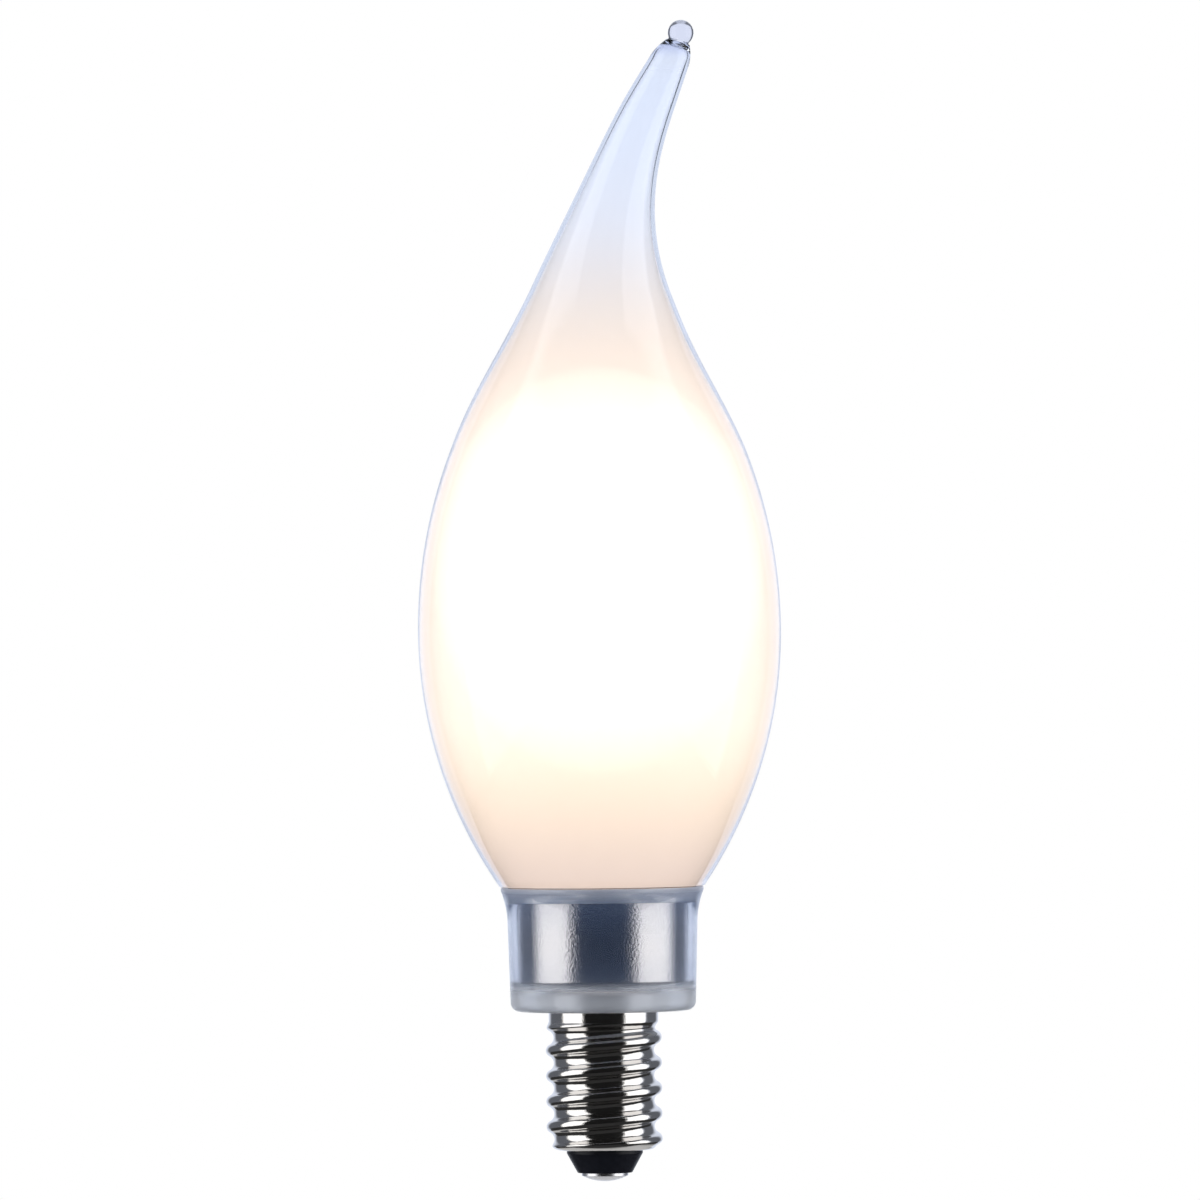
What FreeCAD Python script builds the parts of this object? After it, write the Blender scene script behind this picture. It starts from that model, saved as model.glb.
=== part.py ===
import FreeCAD, Part
import enum
import math
import os

import Sketcher

# A frosted candle lamp on a small screw base, in millimetres and degrees.
# The lamp's axis is Z and the lowest point of its centre contact is the origin. The drawn-out
# tip of the flame leans towards +X.

DRIVING_SIZES = [
    # Centre contact
    ("contact_radius", 2.32, "radius of the contact's disc"),
    ("contact_dome", 0.57, "height of the dome below the disc's rim"),
    ("contact_rim", 0.28, "thickness of the disc at its rim"),
    ("shank_radius", 1.2, "radius of the contact's shank"),
    ("shank_length", 4.4, "length of the shank above the disc"),
    # Insulator
    ("bore_clearance", 0.05, "gap round the shank in the insulator"),
    ("cone_radius", 2.73, "radius of the insulator at the contact"),
    ("cone_height", 1.95, "height of the insulator's cone"),
    ("insulator_radius", 3.8, "radius of the insulator where it enters the shell"),
    ("insulator_band", 0.35, "height of the plain band between the cone and the shell"),
    ("flange_clearance", 0.05, "gap between the insulator's flange and the shell"),
    ("flange_radius", 4.3, "radius of the flange that holds the insulator in the shell"),
    ("flange_height", 1.4, "height of that flange"),
    # Screw shell
    ("shell_sheet", 0.25, "thickness of the shell's sheet metal"),
    ("lip_clearance", 0.08, "gap between insulator and shell"),
    ("shell_corner", 0.9, "outer radius of the shell's lower corner"),
    ("thread_radius", 5.8, "radius over the thread's crests"),
    ("thread_depth", 0.78, "depth of the thread"),
    ("thread_pitch", 2.54, "pitch of the thread"),
    ("crest_height", 0.95, "height of the lowest crest on the +X side above the lower face"),
    ("thread_length", 12.05, "height of the full thread above the lower face"),
    ("thread_runout", 0.75, "height over which the thread runs out"),
    ("skirt_radius", 5.48, "radius of the plain skirt above the thread"),
    ("skirt_length", 1.35, "length of the plain skirt below the collar"),
    ("skirt_depth", 2.4, "how far the skirt goes up into the collar"),
    # Collar
    ("skirt_clearance", 0.05, "gap round the shell's skirt"),
    ("collar_wall", 0.74, "thickness of the collar's side at its lower face"),
    ("collar_corner", 0.9, "outer radius of its lower corner"),
    ("collar_floor", 3.0, "thickness of its floor"),
    ("collar_hole", 4.6, "radius of the hole through its floor"),
    ("collar_taper", 0.26, "how much wider the collar is where its flare starts"),
    ("flare_start", 8.8, "height of that start above the lower face"),
    ("flare_arc", 8.7, "radius of the flare's curve"),
    ("flare_reach", 0.65, "how much the flare widens the collar"),
    ("rim_height", 12.1, "height of the rim above the lower face"),
    ("rim_edge", 0.3, "height of the plain edge round the rim"),
    # Metal cup
    ("cup_clearance", 0.15, "gap between cup and collar"),
    ("cup_radius", 8.35, "outer radius of the metal cup"),
    ("cup_sheet", 0.35, "thickness of its sheet metal"),
    ("cup_corner", 1.2, "outer radius of its lower corner"),
    ("cup_hole", 5.0, "radius of the hole in its bottom"),
    ("cup_height", 7.8, "height of the cup up to its lip"),
    ("lip_angle", 50.0, "how far the lip leans out from the axis"),
    ("lip_reach", 1.3, "how far the lip reaches out"),
    # Flame-shaped glass
    ("glass_clearance", 0.1, "gap between the glass and what holds it"),
    ("neck_gap", 0.6, "gap between the neck and the cup's bottom"),
    ("neck_corner", 1.5, "outer radius of the neck's lower corner"),
    ("glass_wall", 0.6, "thickness of the glass at the bulge"),
    ("tip_wall", 0.35, "thickness of the glass at the end of the drawn tip"),
    ("bulge_radius", 18.15, "largest radius of the flame"),
    ("bulge_height", 25.55, "height of that radius above the glass's seat"),
    ("seat_overhang", 0.11, "how far the flame's foot stands out over the collar's rim"),
    ("upper_arc", 50.1, "radius of the curve above the bulge"),
    ("upper_angle", 21.5, "angle of that curve, up to where the flame starts to lean"),
    # Tip of the glass, which leans over in two arcs and then runs straight. Its radii are shares
    # of the radius where the lean starts.
    ("gentle_arc", 206.0, "radius of the first, gentle bend"),
    ("gentle_angle", 4.2, "angle of the first bend"),
    ("tip_arc", 54.5, "radius of the second bend"),
    ("tip_angle", 21.0, "angle of the second bend"),
    ("tip_straight", 6.2, "length of the straight stretch up to the tube's shoulder"),
    ("shoulder_length", 0.55, "length of the tube's shoulder below the bead"),
    ("mouth_lean", 16.0, "lean of the tube's end from the axis"),
    ("tip_share_1", 0.8413, "radius a third of the way along the first bend, as a share"),
    ("tip_share_2", 0.6578, "radius two thirds of the way along it, as a share"),
    ("tip_share_3", 0.4940, "radius where the second bend starts, as a share"),
    ("tip_share_4", 0.3623, "radius a quarter of the way along the second bend, as a share"),
    ("tip_share_5", 0.2668, "radius half way along it, as a share"),
    ("tip_share_6", 0.2074, "radius three quarters of the way along it, as a share"),
    ("tip_share_7", 0.1699, "radius where the straight stretch starts, as a share"),
    ("tip_share_8", 0.1447, "radius half way along the straight stretch, as a share"),
    ("tip_share_9", 0.1317, "radius where the shoulder starts, as a share"),
    ("mouth_share", 0.0880, "radius of the tube's end, as a share"),
    ("mouth_web", 0.25, "how far below the shoulder the hollow ends"),
    ("bead_radius", 1.29, "radius of the solid bead that seals the tip"),
    ("bead_reach", 0.95, "distance from the tube's end to the middle of the bead"),
]

LOWER_SECTIONS = 4
UPPER_SECTIONS = 4
GENTLE_SECTIONS = 3
TIP_SECTIONS = 4

THREAD_ROWS_PER_PITCH = 8

MATCH = 0.01
FULL_TURN = 360.0
UPRIGHT = 90.0


class Spot(enum.IntEnum):
    """Sketcher's numbers for the ends of a stretch and the middle of a circle."""

    START = 1
    FINISH = 2
    MIDDLE = 3


class Axis(enum.IntEnum):
    """Sketcher's numbers for its own axes, which start at its origin."""

    LEVEL = -1
    UPRIGHT = -2


SKETCH_ORIGIN = (Axis.LEVEL, Spot.START)


class Size:
    """A value together with the sheet formula that gives it."""

    def __init__(self, value, formula):
        self.value = value
        self.formula = formula

    def __add__(self, other):
        other = as_size(other)
        return Size(self.value + other.value, f"({self.formula} + {other.formula})")

    def __sub__(self, other):
        other = as_size(other)
        return Size(self.value - other.value, f"({self.formula} - {other.formula})")

    def __mul__(self, other):
        other = as_size(other)
        return Size(self.value * other.value, f"({self.formula} * {other.formula})")

    def __truediv__(self, other):
        other = as_size(other)
        return Size(self.value / other.value, f"({self.formula} / {other.formula})")


def as_size(number):
    return number if isinstance(number, Size) else Size(float(number), repr(float(number)))


NONE = as_size(0)


def sine(angle):
    return Size(math.sin(math.radians(angle.value)), f"sin({angle.formula})")


def cosine(angle):
    return Size(math.cos(math.radians(angle.value)), f"cos({angle.formula})")


def tangent(angle):
    return Size(math.tan(math.radians(angle.value)), f"tan({angle.formula})")


def versine(angle):
    """One less the cosine: how far an arc of radius 1 has come in from its widest point."""
    return as_size(1) - cosine(angle)


def arcsine(ratio):
    return Size(math.degrees(math.asin(ratio.value)), f"(asin({ratio.formula}) / 1 deg)")


class Sizes:
    """The driving sizes by name, as the sheet holds them."""

    def __init__(self, document):
        sheet = document.addObject("Spreadsheet::Sheet", "sizes")
        for row, (alias, value, meaning) in enumerate(DRIVING_SIZES, start=1):
            sheet.set(f"A{row}", meaning)
            sheet.set(f"B{row}", str(value))
            sheet.setAlias(f"B{row}", alias)
        document.recompute()
        for alias, value, meaning in DRIVING_SIZES:
            setattr(self, alias, Size(float(sheet.get(alias)), f"sizes.{alias}"))


document = FreeCAD.newDocument("candle_lamp")
size = Sizes(document)

# Heights that several pieces share, each worked out from the piece below it
disc_top = size.contact_dome + size.contact_rim
shell_bottom = disc_top + size.cone_height + size.insulator_band
flange_bottom = shell_bottom + size.shell_sheet + size.flange_clearance
thread_top = shell_bottom + size.thread_length
skirt_bottom = thread_top + size.thread_runout
collar_bottom = skirt_bottom + size.skirt_length
skirt_top = collar_bottom + size.skirt_depth
cup_bottom = collar_bottom + size.collar_floor
cup_crease = cup_bottom + size.cup_height
rim_top = collar_bottom + size.rim_height
glass_seat = rim_top + size.glass_clearance
neck_bottom = cup_bottom + size.cup_sheet + size.neck_gap

# Radii that follow from the cup outwards, and the flame's foot on the collar's rim
collar_radius = size.cup_radius + size.cup_clearance + size.collar_wall
flare_radius = collar_radius + size.collar_taper
rim_radius = flare_radius + size.flare_reach
seat_radius = rim_radius + size.seat_overhang


def new_body(name):
    return document.addObject("PartDesign::Body", name)


def origin_plane(body, role):
    return next(plane for plane in body.Origin.OriginFeatures if plane.Role == role)


def outline(body, name, corners):
    """A closed, fully constrained sketch in the plane of the axis.

    Each corner is (name, radius, height), or (name, radius, height, arc radius, side) where
    the stretch that leads to it is an arc. Side is 1 where the arc bulges to the right of the
    way it is drawn, and -1 where it bulges to the left. A radius or height of None is zero.
    """
    sketch = body.newObject("Sketcher::SketchObject", name)
    sketch.AttachmentSupport = [(origin_plane(body, "XZ_Plane"), "")]
    sketch.MapMode = "FlatFace"
    points = [corner_point(corner) for corner in corners]
    for index, corner in enumerate(corners):
        start = points[index - 1]
        end = points[index]
        if len(corner) > 3:
            middle = arc_middle(start, end, corner[3].value, corner[4])
            first, last = (start, end) if corner[4] > 0 else (end, start)
            sketch.addGeometry(Part.Arc(first, middle, last), False)
        else:
            sketch.addGeometry(Part.LineSegment(start, end), False)
    ends = [end_position(sketch, index, point) for index, point in enumerate(points)]
    for index in range(len(corners)):
        following = (index + 1) % len(corners)
        start = Spot.START if ends[following] == Spot.FINISH else Spot.FINISH
        sketch.addConstraint(Sketcher.Constraint("Coincident", index, ends[index], following, start))
    for index, corner in enumerate(corners):
        place_corner(sketch, index, ends[index], corner)
    return sketch


def corner_point(corner):
    radius, height = corner[1:3]
    return FreeCAD.Vector(radius.value if radius else 0, height.value if height else 0, 0)


def arc_middle(start, end, radius, side):
    chord = end - start
    half = chord.Length / 2
    rise = radius - math.sqrt(max(radius * radius - half * half, 0))
    right = FreeCAD.Vector(chord.y, -chord.x, 0).normalize()
    return (start + end) * 0.5 + right * (rise * side)


def end_position(sketch, index, point):
    """Which end of the stretch lies at the point."""
    return Spot.START if (sketch.Geometry[index].StartPoint - point).Length < MATCH else Spot.FINISH


def place_corner(sketch, index, position, corner):
    name, radius, height = corner[:3]
    if radius:
        across = Sketcher.Constraint("DistanceX", *SKETCH_ORIGIN, index, position, radius.value)
        bind(sketch, across, f"{name}_radius", radius)
    else:
        sketch.addConstraint(Sketcher.Constraint("PointOnObject", index, position, Axis.UPRIGHT))
    if height:
        up = Sketcher.Constraint("DistanceY", *SKETCH_ORIGIN, index, position, height.value)
        bind(sketch, up, f"{name}_height", height)
    else:
        sketch.addConstraint(Sketcher.Constraint("PointOnObject", index, position, Axis.LEVEL))
    if len(corner) > 3:
        arc = corner[3]
        bind(sketch, Sketcher.Constraint("Radius", index, arc.value), f"{name}_arc", arc)


def bind(sketch, constraint, name, amount):
    number = sketch.addConstraint(constraint)
    sketch.renameConstraint(number, name)
    sketch.setExpression(f"Constraints.{name}", amount.formula)


def turn(body, kind, name, sketch):
    """A full turn of the sketch about the lamp's axis: a Revolution adds and a Groove cuts."""
    feature = body.newObject(f"PartDesign::{kind}", name)
    feature.Profile = sketch
    feature.ReferenceAxis = (sketch, ["V_Axis"])
    feature.Angle = FULL_TURN
    sketch.Visibility = False
    document.recompute()
    return feature


def ring_edge(shape, radius, height):
    """Name of the round edge about the axis with this radius, at this height."""
    for number, edge in enumerate(shape.Edges, start=1):
        if not isinstance(edge.Curve, Part.Circle):
            continue
        same_radius = abs(edge.Curve.Radius - radius.value) < MATCH
        if same_radius and abs(edge.Curve.Center.z - height.value) < MATCH:
            return f"Edge{number}"
    raise ValueError(f"no round edge of radius {radius.value} at height {height.value}")


def round_edges(body, name, base, edges, radius):
    fillet = body.newObject("PartDesign::Fillet", name)
    fillet.Base = (base, edges)
    fillet.Radius = radius.value
    fillet.setExpression("Radius", radius.formula)
    document.recompute()
    return fillet


def make_contact():
    body = new_body("centre_contact")
    squares = size.contact_radius * size.contact_radius + size.contact_dome * size.contact_dome
    dome_arc = squares / (size.contact_dome * 2)
    shank_top = disc_top + size.shank_length
    profile = outline(body, "contact_profile", [
        ("dome", None, None),
        ("disc", size.contact_radius, size.contact_dome, dome_arc, 1),
        ("rim", size.contact_radius, disc_top),
        ("shank", size.shank_radius, disc_top),
        ("shank_end", size.shank_radius, shank_top),
        ("axis", None, shank_top),
    ])
    turn(body, "Revolution", "contact_turned", profile)
    return body


def make_insulator():
    body = new_body("insulator")
    bore = size.shank_radius + size.bore_clearance
    band_bottom = disc_top + size.cone_height
    flange_top = flange_bottom + size.flange_height
    profile = outline(body, "insulator_profile", [
        ("tip_bore", bore, disc_top),
        ("tip", size.cone_radius, disc_top),
        ("cone", size.insulator_radius, band_bottom),
        ("band", size.insulator_radius, flange_bottom),
        ("flange", size.flange_radius, flange_bottom),
        ("flange_top", size.flange_radius, flange_top),
        ("top_bore", bore, flange_top),
    ])
    turn(body, "Revolution", "insulator_turned", profile)
    return body


def make_collar():
    body = new_body("collar")
    skirt_hole = size.skirt_radius + size.skirt_clearance
    inner_radius = size.cup_radius + size.cup_clearance
    flare_bottom = collar_bottom + size.flare_start
    edge_bottom = rim_top - size.rim_edge
    inner_crease = cup_crease - size.cup_clearance * tangent(size.lip_angle / 2)
    inner_rim = inner_radius + (rim_top - inner_crease) * tangent(size.lip_angle)
    profile = outline(body, "collar_profile", [
        ("underside", skirt_hole, collar_bottom),
        ("corner", collar_radius, collar_bottom),
        ("flare", flare_radius, flare_bottom),
        ("edge", rim_radius, edge_bottom, size.flare_arc, -1),
        ("rim", rim_radius, rim_top),
        ("rim_inside", inner_rim, rim_top),
        ("crease", inner_radius, inner_crease),
        ("floor", inner_radius, cup_bottom),
        ("hole", size.collar_hole, cup_bottom),
        ("step", size.collar_hole, skirt_top + size.skirt_clearance),
        ("socket", skirt_hole, skirt_top + size.skirt_clearance),
    ])
    turned = turn(body, "Revolution", "collar_turned", profile)
    edge = ring_edge(turned.Shape, collar_radius, collar_bottom)
    round_edges(body, "collar_rounded", turned, [edge], size.collar_corner)
    return body


def make_cup():
    body = new_body("metal_cup")
    inner_radius = size.cup_radius - size.cup_sheet
    lip_radius = size.cup_radius + size.lip_reach
    lip_top = cup_crease + size.lip_reach / tangent(size.lip_angle)
    inner_crease = cup_crease + size.cup_sheet * tangent(size.lip_angle / 2)
    profile = outline(body, "cup_profile", [
        ("hole", size.cup_hole, cup_bottom),
        ("corner", size.cup_radius, cup_bottom),
        ("crease", size.cup_radius, cup_crease),
        ("lip", lip_radius, lip_top),
        ("lip_inside", lip_radius - size.cup_sheet * cosine(size.lip_angle),
         lip_top + size.cup_sheet * sine(size.lip_angle)),
        ("inner_crease", inner_radius, inner_crease),
        ("inner_corner", inner_radius, cup_bottom + size.cup_sheet),
        ("hole_top", size.cup_hole, cup_bottom + size.cup_sheet),
    ])
    turned = turn(body, "Revolution", "cup_turned", profile)
    outer_edge = ring_edge(turned.Shape, size.cup_radius, cup_bottom)
    outer = round_edges(body, "cup_rounded", turned, [outer_edge], size.cup_corner)
    inner_edge = ring_edge(outer.Shape, inner_radius, cup_bottom + size.cup_sheet)
    round_edges(body, "cup_rounded_inside", outer, [inner_edge], size.cup_corner - size.cup_sheet)
    return body


def circle_section(body, name, section):
    """A sketch of one circle, set across the flame: (radius, offset along X, height, lean)."""
    radius, offset, height, lean = section
    sketch = body.newObject("Sketcher::SketchObject", name)
    sketch.AttachmentSupport = [(origin_plane(body, "XY_Plane"), "")]
    sketch.MapMode = "FlatFace"
    place_across(sketch, offset, height, lean)
    circle = Part.Circle(FreeCAD.Vector(), FreeCAD.Vector(0, 0, 1), radius.value)
    sketch.addGeometry(circle, False)
    sketch.addConstraint(Sketcher.Constraint("Coincident", 0, Spot.MIDDLE, *SKETCH_ORIGIN))
    bind(sketch, Sketcher.Constraint("Radius", 0, radius.value), "section_radius", radius)
    return sketch


def place_across(feature, offset, height, lean):
    """Puts a feature that is attached to the XY plane at this offset, height and lean."""
    turned = FreeCAD.Rotation(FreeCAD.Vector(0, 1, 0), lean.value)
    feature.AttachmentOffset = FreeCAD.Placement(FreeCAD.Vector(offset.value, 0, height.value), turned)
    feature.setExpression("AttachmentOffset.Base.x", offset.formula)
    feature.setExpression("AttachmentOffset.Base.z", height.formula)
    if lean is not NONE:
        feature.setExpression("AttachmentOffset.Rotation.Angle", lean.formula)


def loft(body, kind, name, sections):
    """A smooth loft through circles: AdditiveLoft adds and SubtractiveLoft cuts."""
    sketches = [circle_section(body, f"{name}_{number}", section)
                for number, section in enumerate(sections, start=1)]
    feature = body.newObject(f"PartDesign::{kind}", name)
    feature.Profile = sketches[0]
    feature.Sections = sketches[1:]
    feature.Ruled = False
    for sketch in sketches:
        sketch.Visibility = False
    document.recompute()
    return feature


def body_sections(bottom):
    """Circles of the upright part of the flame, on the curves below and above the bulge."""
    bulge_height = glass_seat + size.bulge_height
    narrowing = size.bulge_radius - seat_radius
    squares = size.bulge_height * size.bulge_height + narrowing * narrowing
    lower_arc = squares / (narrowing * 2)
    lower_angle = arcsine((bulge_height - bottom) / lower_arc)
    sections = []
    for step in range(LOWER_SECTIONS):
        angle = lower_angle * (1 - step / LOWER_SECTIONS)
        radius = size.bulge_radius - lower_arc * versine(angle)
        sections.append((radius, NONE, bulge_height - lower_arc * sine(angle), NONE))
    for step in range(UPPER_SECTIONS + 1):
        angle = size.upper_angle * (step / UPPER_SECTIONS)
        radius = size.bulge_radius - size.upper_arc * versine(angle)
        sections.append((radius, NONE, bulge_height + size.upper_arc * sine(angle), NONE))
    return sections


def tip_sections(start_radius, start, tip_straight):
    """Circles of the leaning tip, from the top of the upright part to the end of the tube."""
    shares = [size.tip_share_1, size.tip_share_2, size.tip_share_3, size.tip_share_4,
              size.tip_share_5, size.tip_share_6, size.tip_share_7]
    bend = size.gentle_angle
    knee_offset = size.gentle_arc * versine(bend)
    knee_height = start + size.gentle_arc * sine(bend)
    places = []
    for step in range(1, GENTLE_SECTIONS + 1):
        angle = bend * (step / GENTLE_SECTIONS)
        places.append((size.gentle_arc * versine(angle), start + size.gentle_arc * sine(angle), angle))
    for step in range(1, TIP_SECTIONS + 1):
        angle = bend + size.tip_angle * (step / TIP_SECTIONS)
        offset = knee_offset + size.tip_arc * (cosine(bend) - cosine(angle))
        places.append((offset, knee_height + size.tip_arc * (sine(angle) - sine(bend)), angle))
    sections = [(start_radius * share, *place) for share, place in zip(shares, places)]
    offset, height, lean = places[-1]
    for along, share, angle in ((tip_straight / 2, size.tip_share_8, lean),
                                (tip_straight, size.tip_share_9, (lean + size.mouth_lean) / 2)):
        place = (offset + along * sine(lean), height + along * cosine(lean), angle)
        sections.append((start_radius * share, *place))
    return sections


def mouth_section(shoulder):
    """The tube's end, beyond the circle where its shoulder starts."""
    radius, offset, height, lean = shoulder
    mouth_radius = radius * size.mouth_share / size.tip_share_9
    return (mouth_radius, offset + size.shoulder_length * sine(lean),
            height + size.shoulder_length * cosine(lean), size.mouth_lean)


def flame_sections(bottom, tip_straight):
    upright = body_sections(bottom)
    radius, _, height, _ = upright[-1]
    return upright + tip_sections(radius, height, tip_straight)


def wall_at(radius):
    """Thickness of the glass where the flame has this radius: it thins as it is drawn out."""
    return size.tip_wall + (size.glass_wall - size.tip_wall) * (radius / size.bulge_radius)


def make_glass():
    """The flame, its neck and the bead, blown as one piece and hollow up to the bead."""
    body = new_body("glass_bulb")
    outside = flame_sections(glass_seat, size.tip_straight)
    shoulder = outside[-1]
    mouth = mouth_section(shoulder)
    loft(body, "AdditiveLoft", "flame", outside)
    loft(body, "AdditiveLoft", "shoulder", [shoulder, mouth])

    half_lean = size.lip_angle / 2
    neck_radius = size.cup_radius - size.cup_sheet - size.glass_clearance
    neck_crease = cup_crease + (size.cup_sheet + size.glass_clearance) * tangent(half_lean)
    neck = turn(body, "Revolution", "neck", outline(body, "neck_profile", [
        ("end", None, neck_bottom),
        ("corner", neck_radius, neck_bottom),
        ("crease", neck_radius, neck_crease),
        ("ledge", neck_radius + (glass_seat - neck_crease) * tangent(size.lip_angle), glass_seat),
        ("seat", outside[0][0], glass_seat),
        ("axis", None, glass_seat),
    ]))
    corner = ring_edge(neck.Shape, neck_radius, neck_bottom)
    round_edges(body, "neck_rounded", neck, [corner], size.neck_corner)

    bead = body.newObject("PartDesign::AdditiveSphere", "bead")
    bead.AttachmentSupport = [(origin_plane(body, "XY_Plane"), "")]
    bead.MapMode = "FlatFace"
    mouth_offset, mouth_height, lean = mouth[1:]
    place_across(bead, mouth_offset + size.bead_reach * sine(lean),
                 mouth_height + size.bead_reach * cosine(lean), lean)
    bead.setExpression("Radius", size.bead_radius.formula)
    document.recompute()

    hollow_bottom = glass_seat + size.glass_wall
    inside = flame_sections(hollow_bottom, size.tip_straight - size.mouth_web)
    loft(body, "SubtractiveLoft", "hollow", [(s[0] - wall_at(s[0]), *s[1:]) for s in inside])
    bore = neck_radius - size.glass_wall
    bore_crease = neck_crease + size.glass_wall * tangent(half_lean)
    bore_mouth = bore + (hollow_bottom - bore_crease) * tangent(size.lip_angle)
    bore_top = hollow_bottom + size.glass_wall
    turn(body, "Groove", "neck_hollow", outline(body, "neck_hollow_profile", [
        ("end", None, neck_bottom + size.glass_wall),
        ("bottom", bore, neck_bottom + size.glass_wall),
        ("crease", bore, bore_crease),
        ("mouth", bore_mouth, hollow_bottom),
        ("top", bore_mouth, bore_top),
        ("axis", None, bore_top),
    ]))
    return body


def smooth_step(share):
    share = min(max(share, 0.0), 1.0)
    return share * share * (3 - 2 * share)


def shell_rows():
    """The shell's outside without its thread, as level rows from the lip up to the skirt's end.

    Each row is (radius, height, lean of the surface, share of the thread).
    """
    bottom = shell_bottom.value
    corner = size.shell_corner.value
    wall = size.thread_radius.value - size.thread_depth.value / 2
    spacing = size.thread_pitch.value / THREAD_ROWS_PER_PITCH
    lip = size.insulator_radius.value + size.lip_clearance.value
    flat = wall - corner
    rows = [(lip, bottom, UPRIGHT, 0.0)]
    for share in even_shares(corner * math.pi / 2, spacing):
        lean = UPRIGHT * (1 - share)
        rise = corner * (1 - math.sin(math.radians(lean)))
        radius = flat + corner * math.cos(math.radians(lean))
        rows.append((radius, bottom + rise, lean, smooth_step(rise / corner)))
    length = skirt_top.value - bottom - corner
    for share in [*even_shares(length, spacing), 1.0]:
        height = bottom + corner + length * share
        faded = smooth_step((height - thread_top.value) / size.thread_runout.value)
        rows.append((wall + (size.skirt_radius.value - wall) * faded, height, 0.0, 1 - faded))
    return rows


def even_shares(length, spacing):
    """Even steps along a length, as shares of it, without its end."""
    count = max(1, round(length / spacing))
    return [step / count for step in range(count)]


def shell_ring(row, depth):
    """The closed curve round the sheet at this row, this deep below its outside.

    Cut level, a single thread with a round crest and root is a circle that stands off the axis
    towards the crest, and that goes round the axis once a pitch.
    """
    radius, height, lean, thread = row
    lean = math.radians(lean)
    lowest_crest = shell_bottom.value + size.crest_height.value
    turned = 2 * math.pi * (height - lowest_crest) / size.thread_pitch.value
    offset = thread * size.thread_depth.value / 2
    middle = FreeCAD.Vector(offset * math.cos(turned), offset * math.sin(turned),
                            height + depth * math.sin(lean))
    return Part.makeCircle(radius - depth * math.cos(lean), middle)


def make_shell():
    """A thin sheet rolled into a right-hand knuckle thread that fades at both ends."""
    rows = shell_rows()
    outside = [shell_ring(row, 0.0) for row in rows]
    inside = [shell_ring(row, size.shell_sheet.value) for row in rows]
    rings = outside + inside[::-1]
    skin = Part.makeShell([Part.makeRuledSurface(*pair) for pair in zip(rings, rings[1:] + rings[:1])])
    skin.sewShape()
    shell = document.addObject("Part::Feature", "screw_shell")
    shell.Shape = Part.makeSolid(skin)
    shell.Placement = FreeCAD.Placement()
    return shell


def check(part):
    shape = part.Shape
    if shape.isNull() or not shape.isValid() or len(shape.Solids) != 1:
        raise ValueError(f"{part.Label} is not one valid solid")


parts = [make_contact(), make_insulator(), make_shell(), make_collar(), make_cup(), make_glass()]
for part in parts:
    part.Label = part.Name
document.recompute()
for item in document.Objects:
    if "Invalid" in item.State or "Error" in item.State:
        raise ValueError(f"{item.Label} failed")
for part in parts:
    check(part)

os.makedirs("parts", exist_ok=True)
for part in parts:
    part.Shape.exportStep(f"parts/{part.Label}.step")
    print(part.Label, round(part.Shape.Volume, 1), "mm3")
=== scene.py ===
import math

import bpy
import numpy as np
from mathutils import Matrix, Vector


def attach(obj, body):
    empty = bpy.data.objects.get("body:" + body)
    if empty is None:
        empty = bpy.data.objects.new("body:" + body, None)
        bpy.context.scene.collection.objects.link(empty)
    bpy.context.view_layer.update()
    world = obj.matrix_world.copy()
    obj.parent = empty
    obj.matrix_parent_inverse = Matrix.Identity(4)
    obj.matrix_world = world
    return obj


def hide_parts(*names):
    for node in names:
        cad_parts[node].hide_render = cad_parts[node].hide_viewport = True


# A frosted candle lamp with a bent tip. Lengths are in millimetres and turned into metres where
# a mesh or a texture is made. The lamp's axis is Z, its tip leans towards +X, and the camera
# looks along +Y.

MM = 0.001

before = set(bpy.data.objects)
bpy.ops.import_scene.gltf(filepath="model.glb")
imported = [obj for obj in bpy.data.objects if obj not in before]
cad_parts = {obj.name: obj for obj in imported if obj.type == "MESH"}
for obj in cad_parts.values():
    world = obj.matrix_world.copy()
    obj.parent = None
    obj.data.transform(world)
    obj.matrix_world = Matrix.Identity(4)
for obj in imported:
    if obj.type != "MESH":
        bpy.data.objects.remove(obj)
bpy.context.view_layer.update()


# Shapes

COLUMNS = 192
CORNER_STEPS = 8
SHARP_ANGLE = math.radians(40)
ON_AXIS = 0.01


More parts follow.
